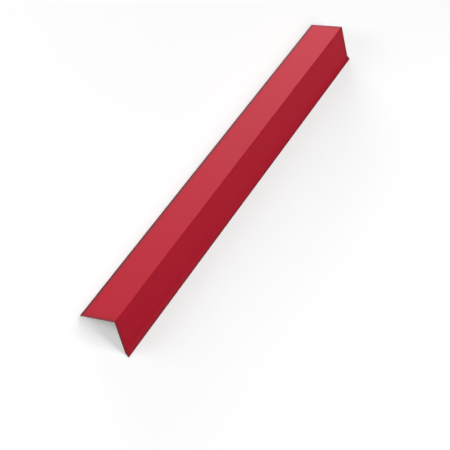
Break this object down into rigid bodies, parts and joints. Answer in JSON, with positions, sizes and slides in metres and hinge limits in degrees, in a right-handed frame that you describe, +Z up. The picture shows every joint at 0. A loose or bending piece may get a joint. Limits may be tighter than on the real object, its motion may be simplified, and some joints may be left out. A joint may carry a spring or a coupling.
{
  "type": "verge flashing",
  "caption": "Angled verge flashing folded from prepainted steel sheet, with hemmed edges and a drip lip, for the gable edge of a roof.",
  "frame": {"origin": "on the floor, under the middle of the flashing as it lies on its two hemmed edges with the corner up", "axes": "+Y along the flashing, +Z up, +X across it towards the gable flange and its drip lip"},
  "size_m": [0.2308, 2, 0.1088],
  "materials": {
    "coated_sheet": "satin"
  },
  "bodies": {
    "root": {"verge_flashing": "coated_sheet"}
  },
  "joints": []
}
